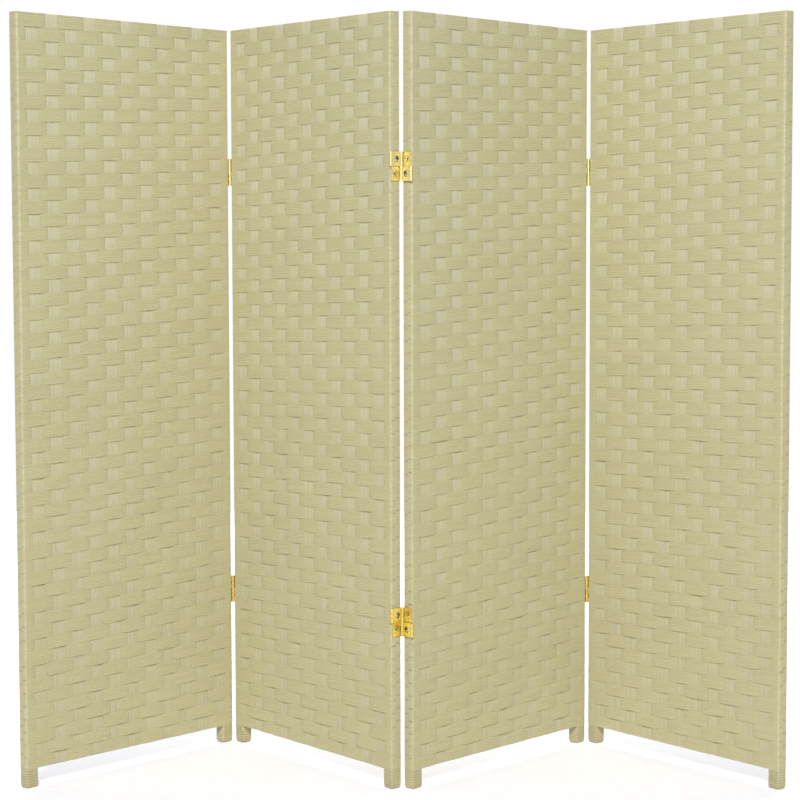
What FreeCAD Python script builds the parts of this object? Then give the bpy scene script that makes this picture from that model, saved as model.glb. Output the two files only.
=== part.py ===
"""Woven fibre folding screen: four covered panels, joined by crossed double-action hinges, set in a zigzag.

Millimetres, +Z up, feet on Z = 0, front of the screen towards -Y, origin at the middle of the footprint.
Every panel is drawn in a frame of its own (X along its width, Y from front to back, Z up from the floor)
and then turned and set in its place in the zigzag.
"""

import FreeCAD, Part
import Sketcher
import os

SIZES = [
    ("panel_height", 1219.0, "floor to the top of the cover"),
    ("panel_width", 444.5, "over the cover"),
    ("panel_thickness", 19.0, "over the cover"),
    ("fold_heading", 50.0, "degrees each panel is turned from the line of the screen"),
    ("foot_height", 30.0, "floor to the underside of the cover"),
    ("cover_wall", 2.0, "woven fibre, warp and weft together"),
    ("cover_round", 1.5, "rounding of the covered edges"),
    ("stile_width", 18.0, "timber, seen from the front"),
    ("rail_height", 20.0, "timber"),
    ("sleeve_floor_gap", 1.0, "floor to the lower end of the sleeve on a foot"),
    ("sleeve_round", 2.0, "rounding of the covered feet"),
    ("hinge_height", 45.5, "whole hinge, both halves"),
    ("hinge_top_drop", 238.5, "top of the panel to the middle of the upper hinge"),
    ("hinge_low_rise", 266.0, "floor to the middle of the lower hinge"),
    ("plate_thickness", 1.2, "brass sheet of leaves and links"),
    ("pin_diameter", 2.7, "hinge pin"),
    ("pin_play", 0.05, "radial play of a pin in the knuckle that turns on it"),
    ("edge_play", 0.2, "knuckle to the edge of a panel"),
    ("axis_stand_off", 0.75, "hinge axis in front of, or behind, the face of a panel"),
    ("knuckle_gap", 0.4, "between knuckles on one pin"),
    ("knuckle_room", 0.2, "round a knuckle, to the plate that is notched for it"),
    ("half_gap", 0.5, "between the upper and the lower link of a hinge"),
    ("access_hole", 10.0, "hole in a link, for the screw head behind it"),
    ("screw_head", 7.0, "diameter of the countersunk head"),
    ("screw_shank", 2.8, "diameter"),
    ("screw_length", 16.0, "over the head"),
    ("screw_tip", 4.0, "length of the pointed end"),
    ("screw_stagger", 1.75, "screws of a leaf, each side of the middle of the panel's edge"),
]

PANELS = (1, 2, 3, 4)
# name, panel on the left, panel on the right, the axis that the fold turns on
FOLDS = (
    ("left_fold", 1, 2, "front"),
    ("middle_fold", 2, 3, "rear"),
    ("right_fold", 3, 4, "front"),
)
SIDE_SIGN = {"left": "-1", "right": "1"}

doc = FreeCAD.newDocument("folding_screen")
sheet = doc.addObject("Spreadsheet::Sheet", "sizes")
for row, (alias, value, note) in enumerate(SIZES, 1):
    sheet.set(f"A{row}", alias)
    sheet.set(f"B{row}", str(value))
    sheet.setAlias(f"B{row}", alias)
    sheet.set(f"C{row}", note)
doc.recompute()


def size(name):
    """A cell of the sheet, for use in an expression."""
    return f"<<sizes>>.{name}"


# Values that follow from the driving sizes
HALF_WIDTH = f"({size('panel_width')} / 2)"
HALF_THICK = f"({size('panel_thickness')} / 2)"
WALL = size("cover_wall")
FRAME_HALF_WIDTH = f"({HALF_WIDTH} - {WALL})"
FRAME_HALF_THICK = f"({HALF_THICK} - {WALL})"
STILE_INNER = f"({FRAME_HALF_WIDTH} - {size('stile_width')})"
FRAME_TOP = f"({size('panel_height')} - {WALL})"
RAIL_LOW = f"({size('foot_height')} + {WALL})"
PLATE = size("plate_thickness")
KNUCKLE_RADIUS = f"({size('pin_diameter')} / 2 + {PLATE})"
HALF_GAP_WIDTH = f"({KNUCKLE_RADIUS} + {size('edge_play')})"
AXIS_ALONG = f"({HALF_WIDTH} + {HALF_GAP_WIDTH})"
AXIS_OUT = f"({HALF_THICK} + {size('axis_stand_off')})"
NOTCH_RADIUS = f"({KNUCKLE_RADIUS} + {size('knuckle_room')})"
LEAF_END = f"({AXIS_OUT} - sqrt({NOTCH_RADIUS} ^ 2 - ({HALF_GAP_WIDTH} - {PLATE}) ^ 2))"
LINK_END = f"({AXIS_OUT} - sqrt({NOTCH_RADIUS} ^ 2 - ({PLATE} / 2) ^ 2))"
LINK_FOOT = f"({size('half_gap')} / 2)"
HALF_HINGE = f"({size('hinge_height')} / 2)"
LINK_HEIGHT = f"({HALF_HINGE} - {LINK_FOOT})"
KNUCKLE_LENGTH = f"(({LINK_HEIGHT} - 2 * {size('knuckle_gap')}) / 3)"
SCREW_RISE = f"(({HALF_HINGE} + {LINK_FOOT}) / 2)"
LEVELS = {
    "top": f"({size('panel_height')} - {size('hinge_top_drop')})",
    "low": size("hinge_low_rise"),
}
# foot of a link, measured from the middle of its hinge
LINK_BASE = {"upper": LINK_FOOT, "lower": f"(-{HALF_HINGE})"}
# half of a panel's distance to the next one, along the line of the screen
HALF_PITCH = (
    f"({AXIS_ALONG} * cos({size('fold_heading')}) + {AXIS_OUT} * sin({size('fold_heading')}))"
)


def heading(panel):
    """Turn of a panel about Z: odd panels run away from the viewer, even ones come back."""
    return f"({'1' if panel % 2 else '-1'} * {size('fold_heading')})"


def link_half(panel):
    """Which links of its hinges stay on a panel: both lie on the axis that the fold doesn't use."""
    for _, left, right, axis in FOLDS:
        if panel == left:
            return "lower" if axis == "front" else "upper"
        if panel == right:
            return "upper" if axis == "front" else "lower"


def hinge_sides(panel):
    """The edges of a panel that carry hinges."""
    return [s for s, end in (("left", PANELS[0]), ("right", PANELS[-1])) if panel != end]


def new_body(label, panel, side=None, level="0"):
    """An empty body, in its panel's frame, or in the frame of a hinge on one of its edges."""
    body = doc.addObject("PartDesign::Body", label)
    body.Label = label
    turn = heading(panel)
    middle = f"({2 * panel - len(PANELS) - 1} * {HALF_PITCH})"
    along = "0"
    half_turn = "0"
    if side:
        along = f"({SIDE_SIGN[side]} * {AXIS_ALONG})"
        half_turn = "180" if side == "left" else "0"
    base = f"vector({middle} + {along} * cos({turn}); {along} * sin({turn}); {level})"
    body.setExpression("Placement", f"placement({base}; rotation(vector(0; 0; 1); {turn} + {half_turn}))")
    return body


def new_sketch(body, plane, offset):
    """A sketch on one of the body's own planes, moved by three expressions in the plane's axes."""
    sketch = body.newObject("Sketcher::SketchObject", "outline")
    planes = {feature.Role: feature for feature in body.Origin.OriginFeatures}
    sketch.AttachmentSupport = [(planes[plane], "")]
    sketch.MapMode = "FlatFace"
    for axis, expression in zip("xyz", offset):
        sketch.setExpression(f"AttachmentOffset.Base.{axis}", expression)
    return sketch


def bind(sketch, kind, *where, to):
    """A dimension of the sketch that follows an expression."""
    number = sketch.addConstraint(Sketcher.Constraint(kind, *where, 1.0))
    sketch.setExpression(f"Constraints[{number}]", to)


def add_outline(sketch, points):
    """A closed outline of straight lines through points given as pairs of expressions."""
    count = len(points)
    first = sketch.GeometryCount
    start = [FreeCAD.Vector(1, 0, 0), FreeCAD.Vector(0, 1, 0), FreeCAD.Vector(-1, 0, 0)]
    corners = [start[i % 3] * (2 + i) for i in range(count)]
    for i in range(count):
        sketch.addGeometry(Part.LineSegment(corners[i], corners[(i + 1) % count]), False)
    for i in range(count):
        sketch.addConstraint(Sketcher.Constraint("Coincident", first + i, 2, first + (i + 1) % count, 1))
    for i, (across, up) in enumerate(points):
        bind(sketch, "DistanceX", first + i, 1, to=across)
        bind(sketch, "DistanceY", first + i, 1, to=up)


def box_points(left, right, low, high):
    return [(left, low), (right, low), (right, high), (left, high)]


def add_circle(sketch, across, up, radius):
    number = sketch.addGeometry(Part.Circle(FreeCAD.Vector(), FreeCAD.Vector(0, 0, 1), 1.0), False)
    bind(sketch, "DistanceX", number, 3, to=across)
    bind(sketch, "DistanceY", number, 3, to=up)
    bind(sketch, "Radius", number, to=radius)


def feature(body, kind, sketch, **settings):
    """A pad, pocket, revolution or groove of a sketch. A length is an expression."""
    item = body.newObject(f"PartDesign::{kind}", kind.lower())
    item.Profile = sketch
    if kind in ("Revolution", "Groove"):
        item.ReferenceAxis = (sketch, ["H_Axis"])
        item.Angle = 360
    before = 0.0 if body.Shape.isNull() else body.Shape.Volume
    for name, setting in settings.items():
        if name == "Length":
            item.setExpression(name, setting)
        else:
            setattr(item, name, setting)
    doc.recompute()
    grew = item.Shape.Volume > before
    if grew != (kind in ("Pad", "Revolution")):
        raise RuntimeError(f"{body.Label}: {kind} did nothing, or worked the wrong way")
    return item


def pad_outline(body, points, base, height):
    sketch = new_sketch(body, "XY_Plane", ("0", "0", base))
    add_outline(sketch, points)
    return feature(body, "Pad", sketch, Length=height)


def pad_circles(body, centres, radius, base, height):
    sketch = new_sketch(body, "XY_Plane", ("0", "0", base))
    for across, along in centres:
        add_circle(sketch, across, along, radius)
    return feature(body, "Pad", sketch, Length=height)


def round_edges(body, base, radius, wanted):
    """Rounds the edges whose middle point passes the test."""
    edges = base.Shape.Edges
    names = [f"Edge{i}" for i, edge in enumerate(edges, 1) if wanted(edge.valueAt(edge.FirstParameter),
                                                                   edge.valueAt(edge.LastParameter))]
    fillet = body.newObject("PartDesign::Fillet", "rounding")
    fillet.Base = (base, names)
    fillet.setExpression("Radius", radius)
    doc.recompute()
    return fillet


def screw_places(side):
    """Distance behind the middle of the edge, and height, of each screw on one edge of a panel."""
    sign = SIDE_SIGN[side]
    for level in LEVELS.values():
        yield f"({sign} * {size('screw_stagger')})", f"({level} + {SCREW_RISE})"
        yield f"(-{sign} * {size('screw_stagger')})", f"({level} - {SCREW_RISE})"


def drill_edge(body, side, face, depth):
    """Screw holes in one edge of a panel piece, from the given face inwards."""
    sketch = new_sketch(body, "YZ_Plane", ("0", "0", f"{SIDE_SIGN[side]} * {face}"))
    for behind, height in screw_places(side):
        add_circle(sketch, behind, height, f"{size('screw_shank')} / 2")
    feature(body, "Pocket", sketch, Length=depth, Reversed=side == "left")


def make_stile(panel, side):
    """An upright of the frame. It runs on below the cover as a foot."""
    body = new_body(f"panel_{panel}_{side}_stile", panel)
    sign = SIDE_SIGN[side]
    across = (f"{sign} * {FRAME_HALF_WIDTH}", f"{sign} * {STILE_INNER}")
    pad_outline(body, box_points(*across, f"-{FRAME_HALF_THICK}", FRAME_HALF_THICK), "0", FRAME_TOP)
    if side in hinge_sides(panel):
        depth = f"{size('screw_length')} - {PLATE} - {WALL}"
        drill_edge(body, side, FRAME_HALF_WIDTH, depth)
    return body


def make_rail(panel, name, base):
    """A cross piece of the frame, between the stiles."""
    body = new_body(f"panel_{panel}_{name}_rail", panel)
    points = box_points(f"-{STILE_INNER}", STILE_INNER, f"-{FRAME_HALF_THICK}", FRAME_HALF_THICK)
    pad_outline(body, points, base, size("rail_height"))
    return body


def make_cover(panel):
    """The woven cover: a hollow sleeve, closed over the top rail and under the bottom rail."""
    body = new_body(f"panel_{panel}_woven_cover", panel)
    outer = box_points(f"-{HALF_WIDTH}", HALF_WIDTH, f"-{HALF_THICK}", HALF_THICK)
    height = f"{size('panel_height')} - {size('foot_height')}"
    block = pad_outline(body, outer, size("foot_height"), height)
    floor = block.Shape.BoundBox.ZMin
    round_edges(body, block, size("cover_round"), lambda a, b: max(a.z, b.z) > floor + 1)

    inside = new_sketch(body, "XY_Plane", ("0", "0", RAIL_LOW))
    inner = box_points(f"-{FRAME_HALF_WIDTH}", FRAME_HALF_WIDTH, f"-{FRAME_HALF_THICK}", FRAME_HALF_THICK)
    add_outline(inside, inner)
    feature(body, "Pocket", inside, Length=f"{FRAME_TOP} - {RAIL_LOW}", Reversed=True)

    mouths = new_sketch(body, "XY_Plane", ("0", "0", size("foot_height")))
    for sign in SIDE_SIGN.values():
        across = (f"{sign} * {FRAME_HALF_WIDTH}", f"{sign} * {STILE_INNER}")
        add_outline(mouths, box_points(*across, f"-{FRAME_HALF_THICK}", FRAME_HALF_THICK))
    feature(body, "Pocket", mouths, Length=WALL, Reversed=True)

    for side in hinge_sides(panel):
        drill_edge(body, side, HALF_WIDTH, WALL)
    return body


def make_foot_sleeves(panel):
    """The cover goes on round both feet as two sleeves, nearly down to the floor."""
    body = new_body(f"panel_{panel}_foot_sleeves", panel)
    base = size("sleeve_floor_gap")
    height = f"{size('foot_height')} - {base}"
    outer_end = f"({STILE_INNER} - {WALL})"
    sketch = new_sketch(body, "XY_Plane", ("0", "0", base))
    for sign in SIDE_SIGN.values():
        across = (f"{sign} * {HALF_WIDTH}", f"{sign} * {outer_end}")
        add_outline(sketch, box_points(*across, f"-{HALF_THICK}", HALF_THICK))
    tubes = feature(body, "Pad", sketch, Length=height)
    round_edges(body, tubes, size("sleeve_round"), lambda a, b: abs(a.z - b.z) > 1)

    hollow = new_sketch(body, "XY_Plane", ("0", "0", base))
    for sign in SIDE_SIGN.values():
        across = (f"{sign} * {FRAME_HALF_WIDTH}", f"{sign} * {STILE_INNER}")
        add_outline(hollow, box_points(*across, f"-{FRAME_HALF_THICK}", FRAME_HALF_THICK))
    feature(body, "Pocket", hollow, Length=height, Reversed=True)
    return body


def make_leaf(label, panel, side, level):
    """A plate on a panel's edge, with a knuckle in front on one half and behind on the other.

    Drawn in the hinge's frame: X = 0 in the middle of the gap, the panel on the side of -X.
    """
    body = new_body(label, panel, side, LEVELS[level])
    inner = f"-{HALF_GAP_WIDTH}"
    outer = f"({PLATE} - {HALF_GAP_WIDTH})"
    plate = box_points(inner, outer, f"-{LEAF_END}", LEAF_END)
    pad_outline(body, plate, f"-{HALF_HINGE}", size("hinge_height"))

    knuckle_foot = f"({LINK_FOOT} + {KNUCKLE_LENGTH} + {size('knuckle_gap')})"
    ends = ((f"-{AXIS_OUT}", knuckle_foot), (AXIS_OUT, f"-{knuckle_foot} - {KNUCKLE_LENGTH}"))
    for axis, base in ends:
        pad_outline(body, box_points(inner, outer, "0", axis), base, KNUCKLE_LENGTH)
        pad_circles(body, [("0", axis)], KNUCKLE_RADIUS, base, KNUCKLE_LENGTH)

    bores = new_sketch(body, "XY_Plane", ("0", "0", "0"))
    for axis, _ in ends:
        add_circle(bores, "0", axis, f"{size('pin_diameter')} / 2 + {size('pin_play')}")
    feature(body, "Pocket", bores, Type="ThroughAll", Midplane=True)

    for sign in ("1", "-1"):
        place = ("0", f"{sign} * {size('screw_stagger')}", f"{sign} * {SCREW_RISE}")
        cone = new_sketch(body, "XY_Plane", place)
        rim = (outer, f"{size('screw_head')} / 2")
        throat = (inner, f"{size('screw_shank')} / 2")
        add_outline(cone, [(outer, "0"), rim, throat, (inner, "0")])
        feature(body, "Groove", cone)
    return body


def make_link(label, panel, side, level):
    """The plate between the two axes of a hinge half, notched for the knuckles of the leaves."""
    body = new_body(label, panel, side, LEVELS[level])
    base = LINK_BASE[link_half(panel)]
    half_plate = f"({PLATE} / 2)"
    across = (f"-{half_plate}", half_plate)
    axes = (f"-{AXIS_OUT}", AXIS_OUT)
    pad_outline(body, box_points(*across, f"-{LINK_END}", LINK_END), base, LINK_HEIGHT)
    for foot in (base, f"{base} + {LINK_HEIGHT} - {KNUCKLE_LENGTH}"):
        pad_outline(body, box_points(*across, *axes), foot, KNUCKLE_LENGTH)
        pad_circles(body, [("0", axis) for axis in axes], KNUCKLE_RADIUS, foot, KNUCKLE_LENGTH)

    bores = new_sketch(body, "XY_Plane", ("0", "0", "0"))
    for axis in axes:
        add_circle(bores, "0", axis, f"{size('pin_diameter')} / 2")
    feature(body, "Pocket", bores, Type="ThroughAll", Midplane=True)

    window = new_sketch(body, "YZ_Plane", ("0", "0", "0"))
    add_circle(window, "0", f"{base} + {LINK_HEIGHT} / 2", f"{size('access_hole')} / 2")
    feature(body, "Pocket", window, Type="ThroughAll", Midplane=True)
    return body


def make_pins(panel):
    """The pins of all the links that stay on a panel, pressed into the links' knuckles."""
    body = new_body(f"panel_{panel}_hinge_pins", panel)
    base = LINK_BASE[link_half(panel)]
    centres = []
    for side in hinge_sides(panel):
        along = f"{SIDE_SIGN[side]} * {AXIS_ALONG}"
        centres += [(along, f"-{AXIS_OUT}"), (along, AXIS_OUT)]
    for level in LEVELS.values():
        pad_circles(body, centres, f"{size('pin_diameter')} / 2", f"{level} + {base}", LINK_HEIGHT)
    return body


def make_screws(panel):
    """The countersunk screws that hold the leaves of a panel, through the cover into the stiles."""
    body = new_body(f"panel_{panel}_hinge_screws", panel)
    for side in hinge_sides(panel):
        sign = SIDE_SIGN[side]
        top = f"({HALF_WIDTH} + {PLATE})"
        tip = f"({top} - {size('screw_length')})"
        shank = f"{size('screw_shank')} / 2"
        profile = [
            (f"{sign} * {top}", "0"),
            (f"{sign} * {top}", f"{size('screw_head')} / 2"),
            (f"{sign} * {HALF_WIDTH}", shank),
            (f"{sign} * ({tip} + {size('screw_tip')})", shank),
            (f"{sign} * {tip}", "0"),
        ]
        for behind, height in screw_places(side):
            sketch = new_sketch(body, "XY_Plane", ("0", behind, height))
            add_outline(sketch, profile)
            feature(body, "Revolution", sketch)
    return body


def make_hinges():
    """Two hinges on each fold, each of two leaves and two crossed links."""
    made = []
    for fold, left, right, _ in FOLDS:
        for level in LEVELS:
            for panel, side, leaf in ((left, "right", "left_leaf"), (right, "left", "right_leaf")):
                name = f"{fold}_{level}_hinge"
                made.append(make_leaf(f"{name}_{leaf}", panel, side, level))
                made.append(make_link(f"{name}_{link_half(panel)}_link", panel, side, level))
    return made


def make_panels():
    """The frame, cover, foot sleeves and hinge fastenings of every panel."""
    made = []
    for panel in PANELS:
        made += [make_stile(panel, side) for side in SIDE_SIGN]
        made.append(make_rail(panel, "top", f"{FRAME_TOP} - {size('rail_height')}"))
        made.append(make_rail(panel, "bottom", RAIL_LOW))
        made += [make_cover(panel), make_foot_sleeves(panel), make_pins(panel), make_screws(panel)]
    return made


subparts = make_panels() + make_hinges()
doc.recompute()
for item in doc.Objects:
    if {"Invalid", "Error"} & set(item.State):
        raise RuntimeError(f"{item.Label} failed: {item.State}")
for item in subparts:
    if item.Shape.isNull() or not item.Shape.isValid() or not item.Shape.Solids:
        raise RuntimeError(f"{item.Label} has no sound shape")

os.makedirs("parts", exist_ok=True)
whole = Part.makeCompound([item.Shape for item in subparts])
for item in subparts:
    item.Shape.exportStep(f"parts/{item.Label}.step")
    print(f"{item.Label}: {len(item.Shape.Solids)} solids, {item.Shape.Volume:.1f} mm3")
print(f"{len(subparts)} sub-parts, box {whole.BoundBox}")
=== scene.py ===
# %% [markdown]
# A folding screen of woven paper cord
#
# Four panels stand in a zigzag. Each one is a slim timber frame with a basket weave of twisted paper cord
# over both faces, and brass hinges join the panels at their edges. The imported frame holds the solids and
# the joints. This lesson gives them their looks: the strands of the weave one by one, the finish of the
# brass, the screws, and a plain studio around them. Everything is in metres, in the frame's own axes.

# %% Load the frame
import math

import bmesh
import bpy
from mathutils import Matrix, Vector


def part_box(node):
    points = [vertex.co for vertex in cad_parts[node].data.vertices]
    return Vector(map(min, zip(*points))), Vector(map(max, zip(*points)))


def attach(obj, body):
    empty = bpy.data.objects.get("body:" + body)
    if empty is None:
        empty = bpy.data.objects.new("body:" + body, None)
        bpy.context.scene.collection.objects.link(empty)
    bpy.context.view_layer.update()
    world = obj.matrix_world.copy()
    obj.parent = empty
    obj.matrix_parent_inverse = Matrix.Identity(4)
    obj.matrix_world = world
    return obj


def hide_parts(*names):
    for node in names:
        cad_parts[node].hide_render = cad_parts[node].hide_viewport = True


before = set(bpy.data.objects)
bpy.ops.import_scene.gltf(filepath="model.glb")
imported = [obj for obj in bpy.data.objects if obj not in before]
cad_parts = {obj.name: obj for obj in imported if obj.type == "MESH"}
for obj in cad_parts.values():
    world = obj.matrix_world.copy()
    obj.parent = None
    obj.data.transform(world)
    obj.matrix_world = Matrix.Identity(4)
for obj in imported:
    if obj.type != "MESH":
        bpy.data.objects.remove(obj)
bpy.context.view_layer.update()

# %% [markdown]
# The panels' own axes
#
# A panel is easiest to build in its own axes: X along its width, -Y to its front face and Z up. The two
# stiles tell where a panel stands and which way it heads, so one matrix per panel brings finished pieces
# into the frame. The sizes are read from the solids, which keeps the looks on the construction if a size
# changes there.

# %% Measure the panels
MM = 0.001
PANELS = (1, 2, 3, 4)


def middle(node):
    """The middle of a node's box."""
    low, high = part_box(node)
    return (low + high) / 2


def panel_place(panel):
    """The matrix from a panel's own axes to the frame."""
    left = middle(f"panel_{panel}_left_stile")
    right = middle(f"panel_{panel}_right_stile")
    heading = math.atan2(right.y - left.y, right.x - left.x)
    centre = (left + right) / 2
    return Matrix.Translation((centre.x, centre.y, 0)) @ Matrix.Rotation(heading, 4, "Z")


def local_box(node, place):
    """The lowest and highest corner of a node in a panel's own axes."""
    to_local = place.inverted()
    points = [to_local @ vertex.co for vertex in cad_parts[node].data.vertices]
    low = Vector([min(point[axis] for point in points) for axis in range(3)])
    high = Vector([max(point[axis] for point in points) for axis in range(3)])
    return low, high


PLACES = {panel: panel_place(panel) for panel in PANELS}
cover_low, cover_high = local_box("panel_1_woven_cover", PLACES[1])
WIDTH, THICKNESS, HEIGHT = cover_high - cover_low
COVER_FOOT = cover_low.z
print("panel cover:", [round(x, 4) for x in (WIDTH, THICKNESS, HEIGHT)], "from", round(COVER_FOOT, 4))

# %% [markdown]
# Sums with sockets
#
# The weave's rule and the finishes are both node trees full of arithmetic. Adding Math nodes by hand
# hides the formula, so a small class wraps a socket and lets Python's own operators add the nodes. Every
# other kind of node comes from one method, which takes the node's type, its settings and the values or
# links of its sockets.

# %% Wrap sockets for arithmetic


class Value:
    """A node's output that can be used in a Python sum."""

    def __init__(self, nodes, socket):
        self.nodes = nodes
        self.socket = socket

    def __add__(self, other):
        return self.nodes.math("ADD", self, other)

    def __radd__(self, other):
        return self.nodes.math("ADD", other, self)

    def __sub__(self, other):
        return self.nodes.math("SUBTRACT", self, other)

    def __rsub__(self, other):
        return self.nodes.math("SUBTRACT", other, self)

    def __mul__(self, other):
        return self.nodes.math("MULTIPLY", self, other)

    def __rmul__(self, other):
        return self.nodes.math("MULTIPLY", other, self)

    def __truediv__(self, other):
        return self.nodes.math("DIVIDE", self, other)

    def __pow__(self, other):
        return self.nodes.math("POWER", self, other)


class Nodes:
    """A node tree, with a method for sums and one for every other node."""

    def __init__(self, tree):
        self.tree = tree

    def add(self, kind, settings=None, values=None, out=0):
        """A new node: settings first, then sockets. The result is one output, or a tuple of several."""
        node = self.tree.nodes.new(kind)
        for name, setting in (settings or {}).items():
            setattr(node, name, setting)
        for key, value in (values or {}).items():
            self.put(node.inputs[key], value)
        if isinstance(out, tuple):
            return tuple(Value(self, node.outputs[key]) for key in out)
        return Value(self, node.outputs[out])

    def put(self, socket, value):
        """Link a value to a socket, or set the socket to a plain number, colour or name."""
        if isinstance(value, Value):
            self.tree.links.new(value.socket, socket)
        else:
            socket.default_value = value

    def math(self, operation, *values):
        """One step of a sum."""
        return self.add("ShaderNodeMath", {"operation": operation}, dict(enumerate(values)))

    def clamp(self, value):
        """A value held between 0 and 1."""
        return self.add("ShaderNodeClamp", None, {"Value": value})

    def rise(self, value, start, width):
        """0 up to a start, then a straight rise to 1 over a width."""
        return self.clamp((value - start) / width)

    def vector(self, x, y, z):
        """A vector from three values."""
        return self.add("ShaderNodeCombineXYZ", None, {"X": x, "Y": y, "Z": z})

    def split(self, vector):
        """The three values of a vector."""
        return self.add("ShaderNodeSeparateXYZ", None, {"Vector": vector}, out=("X", "Y", "Z"))

    def here(self):
        """A point's place on its piece."""
        return self.add("ShaderNodeTexCoord", out="Object")

    def stretch(self, place, scale):
        """A place with its axes scaled, which draws out the pattern that reads it."""
        return self.add("ShaderNodeMapping", None, {"Vector": place, "Scale": scale}, out="Vector")

    def blend(self, share, first, second, mode="MIX"):
        """Two colours mixed by a share."""
        settings = {"data_type": "RGBA", "blend_type": mode}
        return self.add("ShaderNodeMix", settings, {0: share, 6: first, 7: second}, out=2)

    def noise(self, place, scale, detail, out=0):
        """A cloudy chance value that is the same on every run."""
        values = {"Vector": place, "Scale": scale, "Detail": detail}
        return self.add("ShaderNodeTexNoise", None, values, out=out)


print("sums with sockets are ready")

# %% [markdown]
# Twisted paper cord
#
# The screen is woven from cord made of paper ribbon twisted tight. It is matt and sand-coloured, each
# cord a little lighter or darker than the next, with a fine slanting line where the ribbon's edge winds
# round. A picture of a weave would be the quick way, but here the strands are real shapes, so the finish
# only has to know where it is on a strand. Each strand carries that as attributes: how far along it a
# point is, which cord of the bundle it is on, and how deep it lies. Shade is painted where a strand comes
# out from under another one, and most of all as a painted shadow along the upper edge of a level strand,
# below the one that floats over it. The painted shade is stronger near the floor. Along the panel's
# corners a painted highlight makes some cords pale, and round its narrow edges the paper is painted a
# little darker, with painted shade in the lines between the strands and in the grooves between the cords.
# The strands are painted lighter towards the top, as painted light, the upright ones most.

# %% Read a point's place on its strand
CORDS = 6
TWIST = 5.5 * MM
# How fine the streaks are along a strand, over its cords and from strand to strand.
STREAK_GRAIN = (60, 2.6, 3.1)
PATCH_GRAIN = 9.0


def new_material(name):
    """A material with its nodes and its main shader."""
    material = bpy.data.materials.new(name)
    material.use_nodes = True
    shader = material.node_tree.nodes["Principled BSDF"]
    return material, Nodes(material.node_tree), shader


def cord_facts(nodes):
    """What is known at a point of a strand: its place there, and the chance patterns of the paper."""
    strand = nodes.add("ShaderNodeAttribute", {"attribute_name": "strand"}, out="Vector")
    run, cord, number = nodes.split(strand)
    here = nodes.here()
    single = nodes.vector(nodes.math("FLOOR", cord), number, 0.0)
    along, over, between = STREAK_GRAIN
    streak_place = nodes.vector(run * along, cord * over, number * between)
    return {
        "run": run,
        "cord": cord,
        "depth": nodes.add("ShaderNodeAttribute", {"attribute_name": "depth"}, out="Fac"),
        "groove": nodes.add("ShaderNodeAttribute", {"attribute_name": "groove"}, out="Fac"),
        "here": here,
        "height": nodes.split(here)[2],
        "shade": nodes.add("ShaderNodeTexWhiteNoise", {"noise_dimensions": "3D"}, {"Vector": single}),
        "streaks": nodes.noise(streak_place, 1.0, 3.0),
        "patches": nodes.noise(here, PATCH_GRAIN, 2.0),
        "twist": nodes.math("SINE", (run / TWIST + cord) * math.tau),
    }


print("a strand has", CORDS, "cords, twisted once in", round(TWIST / MM, 1), "mm")

# %% Colour the paper
# What each pattern adds to the lightness, and the height above which the paper is painted lighter and
# below which darker, as painted light from above.
CORD_SHARE = 0.34
STREAK_SHARE = 0.50
PATCH_SHARE = 0.40
TWIST_SHARE = 0.05
DARKENING = 0.12
TOP_LIGHT_MIDDLE = 0.72


def paper_tone(nodes, at, tones, contrast, top_light_share):
    """The paper between two tones, by cord, streak, patch and twist, and painted lighter towards the top
    as painted light.
    """
    light = at["shade"] * CORD_SHARE + at["streaks"] * STREAK_SHARE + at["patches"] * PATCH_SHARE
    light = light - DARKENING + at["twist"] * TWIST_SHARE
    # Painted light: lighter higher up and darker lower down, most on the upright strands.
    painted_top_light = (at["height"] - TOP_LIGHT_MIDDLE) * top_light_share
    return nodes.blend(nodes.clamp(0.5 + (light - 0.5) * contrast + painted_top_light), *tones)


print("lightness by cord, streak, patch and twist:", CORD_SHARE, STREAK_SHARE, PATCH_SHARE, TWIST_SHARE)

# %% Paint shade and a highlight past the corners
EDGE_SHADE_TINT = (0.94, 0.94, 0.945, 1)
EDGE_SHADE_REACH = 2 * MM
RIDGE_HIGHLIGHT_TONE = (0.63, 0.60, 0.47, 1)
RIDGE_HIGHLIGHT_REACH = 3.3 * MM
RIDGE_HIGHLIGHT_BY_HEIGHT = 0.25
RIDGE_HIGHLIGHT_FROM = 0.58


def shade_and_highlight_past_corner(nodes, at, colour, past_corner):
    """Painted shade on the paper past a corner of the panel, and a painted highlight that makes some cords
    pale along the corner.
    """
    # Painted shade: the paper past a corner, on the panel's narrow edges, is made darker.
    colour = nodes.blend(nodes.clamp(past_corner / EDGE_SHADE_REACH), colour, EDGE_SHADE_TINT, "MULTIPLY")
    # Painted highlight: a pale band along the rounded corner, stronger towards the top.
    ridge = nodes.clamp(1 - nodes.math("ABSOLUTE", past_corner) / RIDGE_HIGHLIGHT_REACH)
    chance = at["shade"] * 0.5 + at["streaks"] * 0.5 + at["height"] * RIDGE_HIGHLIGHT_BY_HEIGHT - RIDGE_HIGHLIGHT_FROM
    return nodes.blend(ridge * nodes.clamp(chance), colour, RIDGE_HIGHLIGHT_TONE)


print("cords are rubbed to", round(RIDGE_HIGHLIGHT_REACH / MM, 1), "mm from a corner")

# %% Paint shade into the paper
SHADE_TINT = (0.30, 0.25, 0.14, 1)
SHADE_GRAIN = 30.0
SHADE_CONTRAST = 3
# Where painted shade starts and over what width it grows: by depth, by depth below a float, and by cord.
HIDDEN = (0.42, 0.16)
BELOW_FLOAT = (0.28, 0.25)
TOP_EDGE = (CORDS - 0.5, 0.4)
ROW_END = 0.6
# How much painted shade: at least, by chance, near the floor, and less with each metre of height.
SHADE_LEAST = 0.35
SHADE_CHANCE = 1.3
SHADE_AT_FLOOR = 1.25
SHADE_FALL = 0.6
EDGE_LINE_SHADE = 0.3
GROOVE_SHADE = 0.06


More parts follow.
